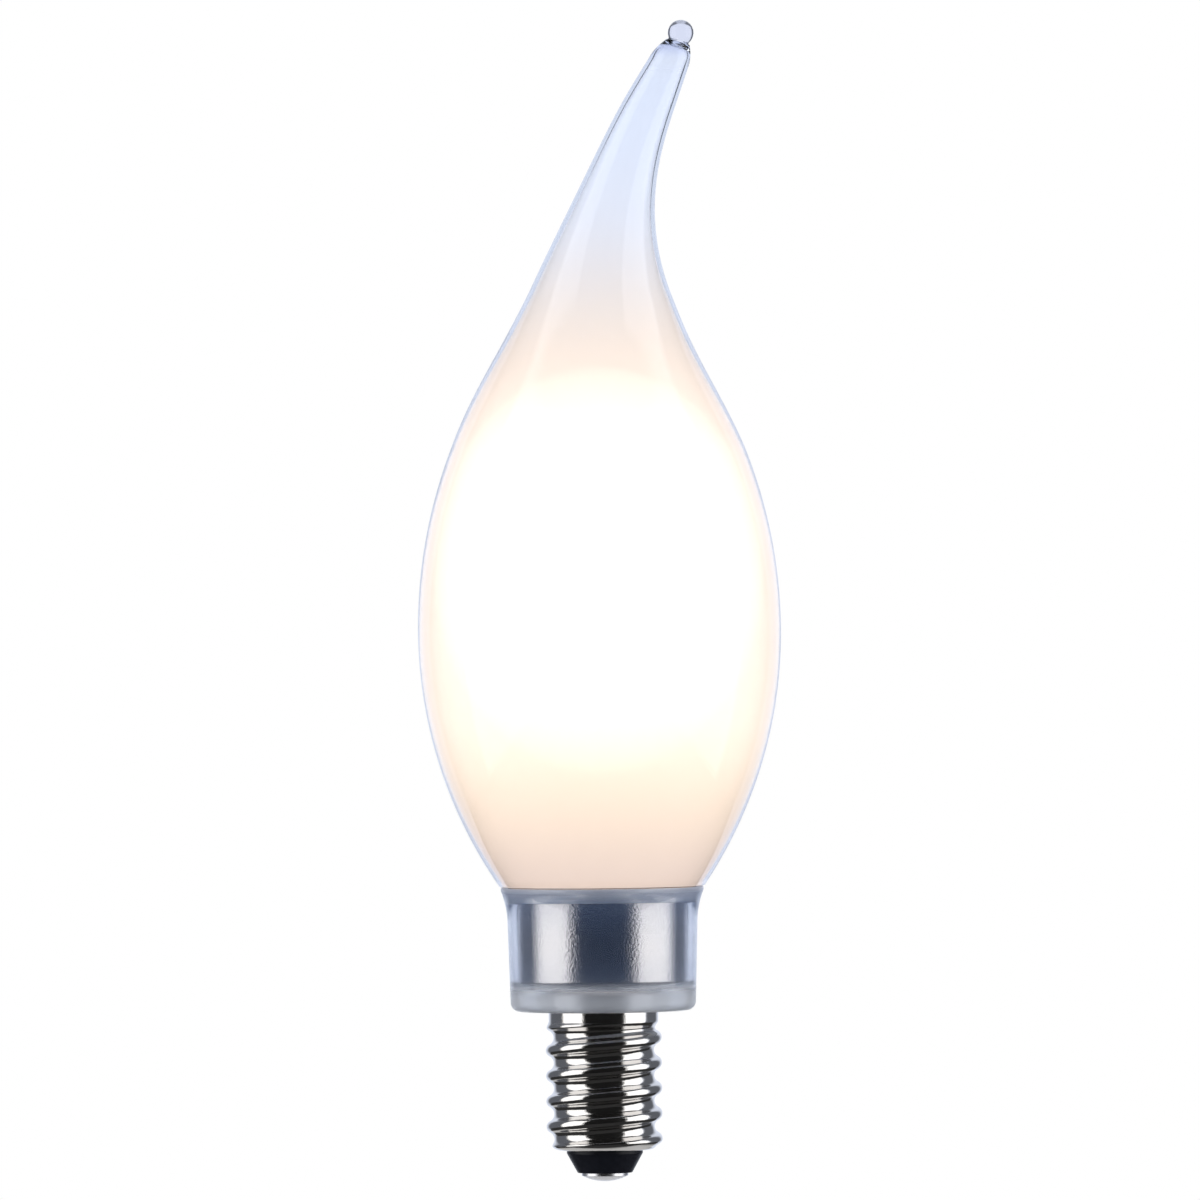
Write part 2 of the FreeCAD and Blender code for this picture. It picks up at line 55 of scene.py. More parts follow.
class Skin:
    """A mesh gathered from stacks of rings."""

    def __init__(self):
        self.points = []
        self.faces = []
        self.slots = []

    def stack(self, rings, slot=0, loop=False):
        """Joins each ring to the next. With loop the last is joined to the first as well, and
        without it both ends are closed."""
        count, columns = rings.shape[:2]
        start = len(self.points)
        self.points.extend(rings.reshape(-1, 3).tolist())
        for row in range(count if loop else count - 1):
            low = start + row * columns
            high = start + (row + 1) % count * columns
            for column in range(columns):
                following = (column + 1) % columns
                self.face((low + column, low + following, high + following, high + column), slot)
        if not loop:
            end = start + (count - 1) * columns
            self.cap(rings[0], range(start, start + columns)[::-1], slot)
            self.cap(rings[-1], range(end, end + columns), slot)

    def cap(self, ring, corners, slot):
        """Closes a ring with triangles round its middle."""
        middle = len(self.points)
        self.points.append(ring.mean(axis=0).tolist())
        for index, corner in enumerate(corners):
            self.face((corner, corners[(index + 1) % len(corners)], middle), slot)

    def face(self, corners, slot):
        self.faces.append(corners)
        self.slots.append(slot)

    def piece(self, name, materials, material_slot, node=None):
        """The finished object, which can stand for a node of the solids."""
        mesh = bpy.data.meshes.new(name)
        mesh.from_pydata((np.array(self.points) * MM).tolist(), [], self.faces)
        for material in materials:
            mesh.materials.append(material)
        mesh.polygons.foreach_set("material_index", self.slots)
        mesh.shade_smooth()
        mesh.set_sharp_from_angle(angle=SHARP_ANGLE)
        piece = bpy.data.objects.new(name, mesh)
        bpy.context.scene.collection.objects.link(piece)
        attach(piece, "root")
        if node:
            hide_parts(node)


def angles(columns=COLUMNS):
    return np.arange(columns) * (2 * math.pi / columns)


def turned(outline, columns=COLUMNS):
    """Rings about the axis through the outline's (radius, height) points."""
    outline = np.array(outline)
    radius, height = outline[:, :1], outline[:, 1:]
    round_ = angles(columns)
    return np.stack([radius * np.cos(round_), radius * np.sin(round_),
                     height + 0 * round_], axis=-1)


def leaning(sections, columns=COLUMNS):
    """Rings across a bent spine: each section is (radius, offset, height, lean)."""
    radius, offset, height, lean = (column[:, None] for column in np.array(sections).T)
    round_ = angles(columns)
    across = radius * np.cos(round_)
    return np.stack([offset + across * np.cos(lean), radius * np.sin(round_),
                     height - across * np.sin(lean)], axis=-1)


def rounded(corners, closed=True):
    """An outline with rounded corners, from (radius, height) or (radius, height, rounding)."""
    outline = []
    for index, corner in enumerate(corners):
        here = np.array(corner[:2], float)
        rounding = corner[2] if len(corner) > 2 else 0
        at_end = not closed and index in (0, len(corners) - 1)
        if not rounding or at_end:
            outline.append(here)
            continue
        before = np.array(corners[index - 1][:2]) - here
        after = np.array(corners[(index + 1) % len(corners)][:2]) - here
        before /= np.linalg.norm(before)
        after /= np.linalg.norm(after)
        half = math.acos(np.clip(before @ after, -1, 1)) / 2
        inwards = (before + after) / np.linalg.norm(before + after)
        middle = here + inwards * rounding / math.sin(half)
        start = here + before * rounding / math.tan(half) - middle
        end = here + after * rounding / math.tan(half) - middle
        sweep = math.pi - 2 * half
        for step in range(CORNER_STEPS + 1):
            share = step / CORNER_STEPS
            weights = (math.sin((1 - share) * sweep), math.sin(share * sweep))
            outline.append(middle + (start * weights[0] + end * weights[1]) / math.sin(sweep))
    return np.array(outline)


def smooth_curve(knots, values, first_slope, last_slope):
    """A cubic curve through the values, with given slopes at both ends."""
    knots, values = np.array(knots, float), np.array(values, float)
    gaps = np.diff(knots)
    rises = np.diff(values) / gaps
    count = len(knots)
    system = np.eye(count)
    right = np.zeros(count)
    right[0], right[-1] = first_slope, last_slope
    for k in range(1, count - 1):
        system[k, k - 1:k + 2] = gaps[k], 2 * (gaps[k - 1] + gaps[k]), gaps[k - 1]
        right[k] = 3 * (gaps[k] * rises[k - 1] + gaps[k - 1] * rises[k])
    slopes = np.linalg.solve(system, right)

    def at(place):
        k = np.clip(np.searchsorted(knots, place) - 1, 0, count - 2)
        share = (place - knots[k]) / gaps[k]
        bend_low = gaps[k] * slopes[k] - (values[k + 1] - values[k])
        bend_high = -gaps[k] * slopes[k + 1] + (values[k + 1] - values[k])
        straight = (1 - share) * values[k] + share * values[k + 1]
        return straight + share * (1 - share) * ((1 - share) * bend_low + share * bend_high)

    return at


def smooth_step(share):
    share = np.clip(share, 0, 1)
    return share * share * (3 - 2 * share)


# Heights and radii that several pieces share

INSULATOR_BOTTOM = 0.85
SHELL_BOTTOM = 3.15
THREAD_TOP = 15.1
SKIRT_BOTTOM = 16.1
COLLAR_BOTTOM = 17.05
SKIRT_TOP = 18.9
CUP_BOTTOM = 19.35
CUP_CREASE = 28.1
RIM_TOP = 29.4
SEAT = 29.5
SKIRT_RADIUS = 5.48
LIP_SLOPE = math.tan(math.radians(50))

# The flame: an upright body, then a spine that leans over in two arcs and runs out straight

BULGE_RADIUS = 18.15
BULGE_HEIGHT = 55.05
LOWER_ARC = 45.3
UPPER_ARC = 50.1
UPPER_ANGLE = math.radians(21.5)
LEAN_START = BULGE_HEIGHT + UPPER_ARC * math.sin(UPPER_ANGLE)
GENTLE_ARC = 206.0
GENTLE_LEAN = math.radians(4.2)
TIP_ARC = 54.5
TIP_LEAN = math.radians(25.2)
STRAIGHT = 6.75
MOUTH_LEAN = math.radians(16)
GENTLE_LENGTH = GENTLE_ARC * GENTLE_LEAN
TIP_LENGTH = TIP_ARC * (TIP_LEAN - GENTLE_LEAN)
SPINE_LENGTH = GENTLE_LENGTH + TIP_LENGTH + STRAIGHT
GENTLE_RADII = [12.33, 9.64, 7.24]
TIP_RADII = [5.31, 3.91, 3.04, 2.49]
STRAIGHT_RADII = [2.12, 2.0]
TUBE_TAPER = 0.09
BODY_SPACING = 0.5
SPINE_SECTIONS = 120

# The tube's end: a shoulder that is drawn in to a narrow mouth, a waist and a bead on top

SHOULDER = 2.2
SHOULDER_START = SPINE_LENGTH - SHOULDER
SHOULDER_SECTIONS = 16
MOUTH_RADIUS = 1.2
HOLLOW_LENGTH = 2.05
WAIST_ANGLE = math.asin(0.8)
WAIST_FILLET = 0.05
WAIST_REACH = 0.03
BEAD_RADIUS = 1.29
BEAD_REACH = 0.95
BEAD_LAST_ANGLE = 0.04
BEAD_SECTIONS = 28

# The walls of the glass, its foot on the lip of the cup, and its neck inside the cup

THIN_GLASS = 0.1
THICK_GLASS = 0.42
DRAWN_RADIUS = 9.0
COAT_GAP = 0.03
FOOT_GLASS = 0.06
FOOT_RADIUS = 8.6
FOOT_CORNER = 0.15
SEAT_CORNER = 0.05
NECK_RADIUS = 7.9
NECK_BOTTOM = 21.25
NECK_TOP = CUP_CREASE + 0.3
NECK_TOP_INSIDE = CUP_CREASE + 0.4
LINING_COLUMNS = 128

# The glow in the middle of the flame

CORE_RADIUS = 16.6
CORE_MIDDLE = 61.0
CORE_HALF_HEIGHT = 20.5
CORE_SECTIONS = 40
CORE_COLUMNS = 96


def tip_radius_curve():
    body_end = BULGE_RADIUS - UPPER_ARC * (1 - math.cos(UPPER_ANGLE))
    places = [0.0]
    places += [GENTLE_LENGTH * step / 3 for step in (1, 2, 3)]
    places += [GENTLE_LENGTH + TIP_LENGTH * step / 4 for step in (1, 2, 3, 4)]
    places += [SPINE_LENGTH - STRAIGHT / 2, SHOULDER_START]
    radii = [body_end, *GENTLE_RADII, *TIP_RADII, *STRAIGHT_RADII]
    return smooth_curve(places, radii, -math.tan(UPPER_ANGLE), -TUBE_TAPER)


TIP_RADIUS = tip_radius_curve()


def spine(place):
    """Offset, height and lean of the leaning spine this far along it."""
    if place <= GENTLE_LENGTH:
        lean = place / GENTLE_ARC
        return GENTLE_ARC * (1 - math.cos(lean)), LEAN_START + GENTLE_ARC * math.sin(lean), lean
    offset, height, bend = spine(GENTLE_LENGTH)
    lean = min(bend + (place - GENTLE_LENGTH) / TIP_ARC, TIP_LEAN)
    offset += TIP_ARC * (math.cos(bend) - math.cos(lean))
    height += TIP_ARC * (math.sin(lean) - math.sin(bend))
    rest = max(place - GENTLE_LENGTH - TIP_LENGTH, 0)
    return offset + rest * math.sin(TIP_LEAN), height + rest * math.cos(TIP_LEAN), lean


def section_lean(place, lean):
    """The lean of a section, which turns from the spine's lean to the mouth's near the end."""
    share = smooth_step((place - SPINE_LENGTH + STRAIGHT) / STRAIGHT)
    return lean + (MOUTH_LEAN - lean) * share


def body_radius(height):
    arc = LOWER_ARC if height < BULGE_HEIGHT else UPPER_ARC
    return BULGE_RADIUS - arc + math.sqrt(arc * arc - (height - BULGE_HEIGHT) ** 2)


def no_depth(radius):
    return 0.0


def glass_depth(radius):
    """Clear glass over the coat: it is thinner where the flame is blown out wide."""
    blown = np.clip((radius - DRAWN_RADIUS) / (BULGE_RADIUS - DRAWN_RADIUS), 0, 1)
    return float(THICK_GLASS + (THIN_GLASS - THICK_GLASS) * blown)


def coat_depth(radius):
    return glass_depth(radius) + COAT_GAP


def flame_sections(depth, bottom):
    """Sections of the flame at this depth, from this height up to the shoulder of its tube."""
    sections = []
    for height in np.arange(bottom, LEAN_START, BODY_SPACING):
        radius = body_radius(height)
        sections.append((radius - depth(radius), 0, height, 0))
    for place in np.linspace(0, SHOULDER_START, SPINE_SECTIONS):
        offset, height, lean = spine(place)
        radius = float(TIP_RADIUS(place))
        sections.append((radius - depth(radius), offset, height, section_lean(place, lean)))
    return sections


def near_mouth(outline):
    """Sections before and beyond the mouth, from (radius, reach beyond the mouth)."""
    sections = []
    for radius, reach in outline:
        place = SPINE_LENGTH + min(reach, 0)
        offset, height, lean = spine(place)
        beyond = max(reach, 0)
        sections.append((radius, offset + beyond * math.sin(MOUTH_LEAN),
                         height + beyond * math.cos(MOUTH_LEAN), section_lean(place, lean)))
    return sections


def end_of_tube():
    """The rounded shoulder, the waist under the bead and the bead, as (radius, reach)."""
    tube = float(TIP_RADIUS(SHOULDER_START))
    narrowing = tube - TUBE_TAPER * SHOULDER - MOUTH_RADIUS
    outline = []
    for share in np.linspace(0, 1, SHOULDER_SECTIONS)[1:]:
        outline.append((tube - TUBE_TAPER * SHOULDER * share - narrowing * share ** 2,
                        SHOULDER * (share - 1)))
    outline.append((BEAD_RADIUS * math.sin(WAIST_ANGLE) + WAIST_FILLET, WAIST_REACH))
    for turn in np.linspace(math.pi - WAIST_ANGLE, BEAD_LAST_ANGLE, BEAD_SECTIONS):
        outline.append((BEAD_RADIUS * math.sin(turn),
                        BEAD_REACH + BEAD_RADIUS * math.cos(turn)))
    return outline


def end_of_hollow(depth):
    """The blunt end of the hollow inside the shoulder, as (radius, reach)."""
    tube = float(TIP_RADIUS(SHOULDER_START))
    radius = tube - depth(tube)
    return [(radius * (1 - share ** 3) ** 0.5, HOLLOW_LENGTH * share - SHOULDER)
            for share in 1 - np.linspace(1, 0, SHOULDER_SECTIONS)[1:-1] ** 2]


def lined(depth):
    """The flame's inside at this depth, from the bottom of its neck to the end of the hollow."""
    inset = depth(NECK_RADIUS)
    foot = SEAT + FOOT_GLASS + depth(BULGE_RADIUS) - THIN_GLASS
    neck = rounded([
        (ON_AXIS, NECK_BOTTOM + inset), (NECK_RADIUS - inset, NECK_BOTTOM + inset, 1.2),
        (NECK_RADIUS - inset, NECK_TOP_INSIDE, 0.3), (FOOT_RADIUS, foot, 0.3),
        (body_radius(SEAT) - inset, foot),
    ], closed=False)
    sections = [(radius, 0, height, 0) for radius, height in neck]
    sections += flame_sections(depth, foot + FOOT_CORNER)
    return sections + near_mouth(end_of_hollow(depth))


def make_flame(clear, coat, glow):
    """A clear envelope with its inside, and a milky lining with a glow in the middle."""
    neck = rounded([
        (ON_AXIS, NECK_BOTTOM), (NECK_RADIUS, NECK_BOTTOM, 1.5), (NECK_RADIUS, NECK_TOP, 0.4),
        (NECK_RADIUS + (SEAT - NECK_TOP) * LIP_SLOPE, SEAT, 0.1),
        (body_radius(SEAT) - SEAT_CORNER, SEAT),
    ], closed=False)
    outside = [(radius, 0, height, 0) for radius, height in neck]
    outside += flame_sections(no_depth, SEAT + SEAT_CORNER)
    outside += near_mouth(end_of_tube())
    envelope = Skin()
    envelope.stack(leaning(outside))
    envelope.stack(leaning(lined(glass_depth))[::-1])
    envelope.piece("clear_envelope", [clear], "frosted_glass", "glass_bulb")

    core = [(CORE_RADIUS * math.sin(turn), CORE_MIDDLE - CORE_HALF_HEIGHT * math.cos(turn))
            for turn in np.linspace(0, math.pi, CORE_SECTIONS)[1:-1]]
    lining = Skin()
    lining.stack(leaning(lined(coat_depth), LINING_COLUMNS))
    lining.stack(turned(core, CORE_COLUMNS), slot=1)
    lining.piece("milky_lining", [coat, glow], "frosted_glass")


# Collar and cup

COLLAR_RADIUS = 9.24
COLLAR_BORE = 8.5
COLLAR_HOLE = 4.6
FLARE_START = 26.1
FLARE_RADIUS = 9.5
FLARE_ARC = 8.7
FLARE_POINTS = 10
RIM_RADIUS = 10.15
RIM_EDGE = 0.3
SKIRT_GAP = 0.05
CUP_GAP = 0.02
CREASE_GAP = 0.07
CUP_RADIUS = 8.35
CUP_SHEET = 0.35
CUP_HOLE = 5.0
LIP_REACH = 1.3
LIP_RISE = LIP_REACH / LIP_SLOPE

# The top of the cup, as (distance out from its side, height over its crease, rounding)
BAND = [(0.13, 0.12, 0.1), (0.25, 0.72, 0.12)]
LIP = [(LIP_REACH, LIP_RISE, 0.05), (LIP_REACH - 0.22, LIP_RISE + 0.25, 0.05)]
BAND_INSIDE = [(0.13, 0.75, 0.05), (-CUP_SHEET, 0.16, 0.2)]


def flare():
    """The collar's flare, a hollow curve from its side to its rim."""
    start = np.array([FLARE_RADIUS, FLARE_START])
    end = np.array([RIM_RADIUS, RIM_TOP - RIM_EDGE])
    chord = end - start
    length = np.linalg.norm(chord)
    outwards = np.array([chord[1], -chord[0]]) / length
    middle = (start + end) / 2 + outwards * math.sqrt(FLARE_ARC ** 2 - (length / 2) ** 2)
    first = math.atan2(*(start - middle)[::-1]) % (2 * math.pi)
    last = math.atan2(*(end - middle)[::-1]) % (2 * math.pi)
    return [tuple(middle + FLARE_ARC * np.array([math.cos(turn), math.sin(turn)]))
            for turn in np.linspace(first, last, FLARE_POINTS)]


def make_collar(plastic):
    socket = SKIRT_RADIUS + SKIRT_GAP
    socket_top = SKIRT_TOP + SKIRT_GAP
    floor = CUP_BOTTOM - CUP_GAP
    crease = CUP_CREASE - CREASE_GAP
    outline = rounded([
        (socket, COLLAR_BOTTOM, 0.15), (COLLAR_RADIUS, COLLAR_BOTTOM, 0.9), *flare(),
        (RIM_RADIUS, RIM_TOP, 0.1), (COLLAR_BORE + (RIM_TOP - crease) * LIP_SLOPE, RIM_TOP, 0.03),
        (COLLAR_BORE, crease, 0.2), (COLLAR_BORE, floor, 0.9), (COLLAR_HOLE, floor),
        (COLLAR_HOLE, socket_top), (socket, socket_top),
    ])
    skin = Skin()
    skin.stack(turned(outline), loop=True)
    skin.piece("clear_collar", [plastic], "pale_plastic", "collar")


def make_cup(metal):
    """A drawn cup with a short upright band above its crease, and a lip under the glass."""
    top = [(CUP_RADIUS + out, CUP_CREASE + rise, rounding)
           for out, rise, rounding in (*BAND, *LIP, *BAND_INSIDE)]
    outline = rounded([
        (CUP_HOLE, CUP_BOTTOM), (CUP_RADIUS, CUP_BOTTOM, 0.8), (CUP_RADIUS, CUP_CREASE, 0.1), *top,
        (CUP_RADIUS - CUP_SHEET, CUP_BOTTOM + CUP_SHEET, 0.45), (CUP_HOLE, CUP_BOTTOM + CUP_SHEET),
    ])
    skin = Skin()
    skin.stack(turned(outline), loop=True)
    skin.piece("brushed_cup", [metal], "brushed_metal", "metal_cup")


# Screw base

PITCH = 2.54
THREAD_RADIUS = 5.8
THREAD_DEPTH = 0.78
WALL_RADIUS = THREAD_RADIUS - THREAD_DEPTH / 2
CREST_ARC = 0.62
CREST_HEIGHT = 4.2
SHEET = 0.25
SHELL_HOLE = 3.88
SHELL_CORNER = 0.9
SHELL_FLOOR_ROWS = 5
SHELL_CORNER_ROWS = 17
OUTSIDE_SPACING = 0.07
INSIDE_SPACING = 0.4
INSULATOR_TOP = 4.85
INSULATOR_BORE = 1.25
CONTACT_RADIUS = 2.32
CONTACT_DOME = 0.57
DOME_EDGE = 0.05
DOME_FIRST_ANGLE = 0.01
DOME_POINTS = 24
SHANK_RADIUS = 1.2
SHANK_TOP = 5.25


def thread_radius(height, angle):
    """The rolled thread: a round crest and a wider round root that run into each other."""
    both_arcs = (PITCH ** 2 / 4 + THREAD_DEPTH ** 2) / (2 * THREAD_DEPTH)
    root_arc = both_arcs - CREST_ARC
    turns = (height - CREST_HEIGHT) / PITCH - angle / (2 * math.pi)
    from_crest = np.abs(turns - np.round(turns)) * PITCH
    from_root = PITCH / 2 - from_crest
    crest = THREAD_RADIUS - CREST_ARC + np.sqrt(np.maximum(CREST_ARC ** 2 - from_crest ** 2, 0))
    root = (THREAD_RADIUS - THREAD_DEPTH + root_arc
            - np.sqrt(np.maximum(root_arc ** 2 - from_root ** 2, 0)))
    return np.where(from_crest < CREST_ARC * PITCH / 2 / both_arcs, crest, root)


def shell_rows(spacing):
    """Rows of the shell's outside: (radius, height, lean of the surface, share of the thread)."""
    flat = WALL_RADIUS - SHELL_CORNER
    rows = [(radius, SHELL_BOTTOM, math.pi / 2, 0)
            for radius in np.linspace(SHELL_HOLE, flat, SHELL_FLOOR_ROWS)[:-1]]
    for turn in np.linspace(math.pi / 2, 0, SHELL_CORNER_ROWS)[:-1]:
        rise = SHELL_CORNER * (1 - math.sin(turn))
        rows.append((flat + SHELL_CORNER * math.cos(turn), SHELL_BOTTOM + rise, turn,
                     float(smooth_step(rise / SHELL_CORNER))))
    for height in np.arange(SHELL_BOTTOM + SHELL_CORNER, SKIRT_TOP + spacing / 2, spacing):
        faded = float(smooth_step((height - THREAD_TOP) / (SKIRT_BOTTOM - THREAD_TOP)))
        rows.append((WALL_RADIUS + (SKIRT_RADIUS - WALL_RADIUS) * faded, height, 0, 1 - faded))
    return rows


def shell_rings(spacing, depth):
    """Rings of the shell at this depth under its outside."""
    radius, height, lean, thread = (column[:, None] for column in np.array(shell_rows(spacing)).T)
    round_ = angles()
    rolled = thread_radius(height, round_) - WALL_RADIUS
    reach = radius + thread * rolled - depth * np.cos(lean)
    return np.stack([reach * np.cos(round_), reach * np.sin(round_),
                     height + depth * np.sin(lean) + 0 * round_], axis=-1)


def make_shell(metal):
    skin = Skin()
    rings = [shell_rings(OUTSIDE_SPACING, 0), shell_rings(INSIDE_SPACING, SHEET)[::-1]]
    skin.stack(np.concatenate(rings), loop=True)
    skin.piece("threaded_shell", [metal], "nickel_plate", "screw_shell")


def make_insulator(black):
    """A cone below the shell and a plug inside it, round the contact's shank."""
    outline = rounded([
        (INSULATOR_BORE, INSULATOR_BOTTOM), (2.73, INSULATOR_BOTTOM, 0.1), (3.8, 2.8, 0.12),
        (3.8, 3.45), (4.3, 3.45), (4.3, INSULATOR_TOP), (INSULATOR_BORE, INSULATOR_TOP),
    ])
    skin = Skin()
    skin.stack(turned(outline), loop=True)
    skin.piece("black_insulator", [black], "black_insulation", "insulator")


def make_contact(metal):
    """A domed head under the insulator, with a shank up through it."""
    arc = (CONTACT_RADIUS ** 2 + CONTACT_DOME ** 2) / (2 * CONTACT_DOME)
    dome_end = math.asin((CONTACT_RADIUS - DOME_EDGE) / arc)
    outline = [(arc * math.sin(turn), arc - arc * math.cos(turn))
               for turn in np.linspace(DOME_FIRST_ANGLE, dome_end, DOME_POINTS)]
    edge = rounded([
        outline[-1], (CONTACT_RADIUS, CONTACT_DOME, 0.03), (CONTACT_RADIUS, INSULATOR_BOTTOM),
        (SHANK_RADIUS, INSULATOR_BOTTOM), (SHANK_RADIUS, SHANK_TOP),
    ], closed=False)
    outline += [tuple(point) for point in edge[1:]]
    skin = Skin()
    skin.stack(turned(outline))
    skin.piece("domed_contact", [metal], "bright_contact", "centre_contact")


# Materials

# Heights between which the colours of the flame and of the collar change
FLAME_SPAN = (20, 116)
COLLAR_SPAN = (17, 30)


class Tree:
    """Adds shader nodes: a socket takes a value, or another node's output to be linked."""

    def __init__(self, owner):
        owner.use_nodes = True
        self.tree = owner.node_tree
        self.tree.nodes.clear()

    def add(self, kind, sockets=None, **settings):
        node = self.tree.nodes.new(f"ShaderNode{kind}")
        for name, value in settings.items():
            setattr(node, name, value)
        for name, value in (sockets or {}).items():
            self.feed(node.inputs[name], value)
        return node

    def feed(self, socket, value):
        if isinstance(value, bpy.types.NodeSocket):
            self.tree.links.new(value, socket)
        else:
            socket.default_value = value

    def math(self, operation, *values):
        return self.add("Math", dict(enumerate(values)), operation=operation).outputs[0]

    def place(self):
        """The point on the surface in the lamp's own frame, in metres."""
        return self.add("TexCoord").outputs["Object"]

    def noise(self, scale, detail=3.0, stretch=None):
        where = self.place()
        if stretch:
            where = self.add("Mapping", {"Vector": where, "Scale": stretch}).outputs[0]
        noise = self.add("TexNoise", {"Vector": where, "Scale": scale, "Detail": detail})
        return noise.outputs["Fac"]

    def spread(self, share, low, high):
        """A number from low to high as the share goes from 0 to 1."""
        return self.add("MapRange", {"Value": share, "To Min": low, "To Max": high}).outputs[0]

    def shade(self, share, low, high):
        """A colour between two, mixed by a share."""
        mix = self.add("Mix", {"Factor": share}, data_type="RGBA")
        ends = [socket for socket in mix.inputs if socket.type == "RGBA"]
        ends[0].default_value = (*low, 1)
        ends[1].default_value = (*high, 1)
        return next(socket for socket in mix.outputs if socket.type == "RGBA")

    def bump(self, share, strength, depth):
        sockets = {"Height": share, "Strength": strength, "Distance": depth * MM}
        return self.add("Bump", sockets).outputs[0]

    def by_height(self, span, stops):
        """A colour ramp up the lamp, through (height, colour) stops within a span."""
        low, high = span
        height = self.add("SeparateXYZ", {"Vector": self.place()}).outputs["Z"]
        share = self.add("MapRange", {
            "Value": height, "From Min": low * MM, "From Max": high * MM}).outputs[0]
        ramp = self.add("ValToRGB", {"Fac": share})
        ramp.color_ramp.interpolation = "B_SPLINE"
        elements = ramp.color_ramp.elements
        places = [(at - low) / (high - low) for at, colour in stops]
        elements[0].position, elements[-1].position = places[0], places[-1]
        for place in places[1:-1]:
            elements.new(place)
        for element, (at, colour) in zip(elements, stops):
            element.color = (*colour, 1)
        return ramp.outputs["Color"]

    def level_by_height(self, span, stops):
        """The same with (height, number) stops."""
        return self.by_height(span, [(at, (level,) * 3) for at, level in stops])

    def principled(self, colour, **sockets):
        named = {name.replace("_", " "): value for name, value in sockets.items()}
        return self.add("BsdfPrincipled", {"Base Color": colour, **named}).outputs[0]

    def finish(self, surface=None, volume=None):
        output = self.add("OutputMaterial")
        if surface:
            self.feed(output.inputs["Surface"], surface)
        if volume:
            self.feed(output.inputs["Volume"], volume)


def new_material(name):
    material = bpy.data.materials.new(name)
    return material, Tree(material)


def seen_past(tree, material, tint):
    """Lets the light for other surfaces straight through, so that what is behind stays lit."""
    rays = tree.add("LightPath").outputs
    passing = tree.math("MAXIMUM", rays["Is Shadow Ray"], rays["Is Diffuse Ray"])
    straight = tree.add("BsdfTransparent", {"Color": (*tint, 1)}).outputs[0]
    return tree.add("MixShader", {0: passing, 1: material, 2: straight}).outputs[0]


def clear_glass():
    """Clear glass, with more shine on the tip than on the body, and a darker bead."""
    material, tree = new_material("clear_glass")
    colour = tree.by_height(FLAME_SPAN, [
        (20, (0.91, 0.91, 0.965)), (70, (0.91, 0.91, 0.965)), (90, (0.90, 0.93, 0.985)),
        (112, (0.91, 0.94, 0.985)), (113.5, (0.70, 0.75, 0.93)), (116, (0.70, 0.75, 0.93))])
    shine = tree.level_by_height(FLAME_SPAN, [(20, 0.12), (76, 0.12), (90, 0.34), (116, 0.34)])
    glass = tree.principled(colour, Transmission_Weight=1.0, Roughness=0.0, IOR=1.5,
                            Specular_Tint=shine,
                            Normal=tree.bump(tree.noise(90, 1.0), 0.15, 0.05))
    tree.finish(seen_past(tree, glass, (0.92, 0.95, 1.0)))
    return material


def milky_coat():
    """A coat that scatters and glows, warm in the body and thinner and cool in the tip."""
    material, tree = new_material("milky_coat")
    tint = tree.by_height(FLAME_SPAN, [
        (20, (0.50, 0.43, 0.36)), (60, (0.50, 0.43, 0.36)), (84, (0.58, 0.52, 0.46)),
        (98, (0.66, 0.70, 0.78)), (116, (0.66, 0.70, 0.78))])
    # The glow is the lamp's light, warm in the body; its cool glow in the tip is painted light,
    # standing in for light from around the lamp
    glow = tree.by_height(FLAME_SPAN, [
        (20, (0.46, 0.38, 0.33)), (31, (0.60, 0.49, 0.43)), (39, (0.84, 0.69, 0.49)),
        (46, (1.0, 0.88, 0.70)), (72, (1.0, 0.86, 0.68)), (80, (0.74, 0.56, 0.39)),
        (88, (0.50, 0.42, 0.34)), (96, (0.42, 0.43, 0.47)), (114, (0.44, 0.46, 0.52))])
    cover = tree.level_by_height(FLAME_SPAN, [
        (20, 0.85), (38, 0.8), (55, 0.5), (78, 0.55), (95, 0.6), (110, 0.4), (114, 0.1)])
    grain = tree.spread(tree.noise(900), 0.97, 1.03)
    scatter = tree.add("MixShader", {
        0: 0.4, 1: tree.add("BsdfDiffuse", {"Color": tint}).outputs[0],
        2: tree.add("BsdfTranslucent", {"Color": tint}).outputs[0]}).outputs[0]
    light = tree.add("Emission", {"Color": glow, "Strength": grain}).outputs[0]
    milk = tree.add("AddShader", {0: scatter, 1: light}).outputs[0]
    through = tree.add("BsdfTransparent").outputs[0]
    tree.finish(tree.add("MixShader", {0: cover, 1: through, 2: milk}).outputs[0])
    return material


def lamp_glow():
    """A glowing volume, which stands in for the light source."""
    material, tree = new_material("lamp_glow")
    light = tree.add("Emission", {"Color": (1.0, 0.86, 0.68, 1), "Strength": 24.0})
    tree.finish(volume=light.outputs[0])
    return material


def pale_plastic():
    """Clear plastic that is cloudy and rough at its floor and cloudy again at its rim."""
    material, tree = new_material("pale_plastic")
    colour = tree.shade(tree.noise(400), (0.90, 0.93, 0.99), (0.94, 0.96, 1.0))
    roughness = tree.level_by_height(COLLAR_SPAN, [(17, 0.34), (19, 0.34), (20, 0.08), (30, 0.06)])
    haze = tree.by_height(COLLAR_SPAN, [
        (17, (0.88, 0.92, 1.0)), (19.4, (0.88, 0.92, 1.0)), (20.6, (0.3, 0.5, 1.0)),
        (28, (0.3, 0.5, 1.0)), (29.2, (0.88, 0.90, 1.0))])
    milkiness = tree.level_by_height(COLLAR_SPAN, [
        (17, 0.3), (18.8, 0.28), (20, 0.03), (28, 0.03), (29.2, 0.4)])
    clear = tree.principled(colour, Transmission_Weight=1.0, IOR=1.49, Roughness=roughness)
    cloud = tree.add("BsdfDiffuse", {"Color": haze}).outputs[0]
    plastic = tree.add("MixShader", {0: milkiness, 1: clear, 2: cloud}).outputs[0]
    tree.finish(seen_past(tree, plastic, (0.9, 0.94, 1.0)))
    return material


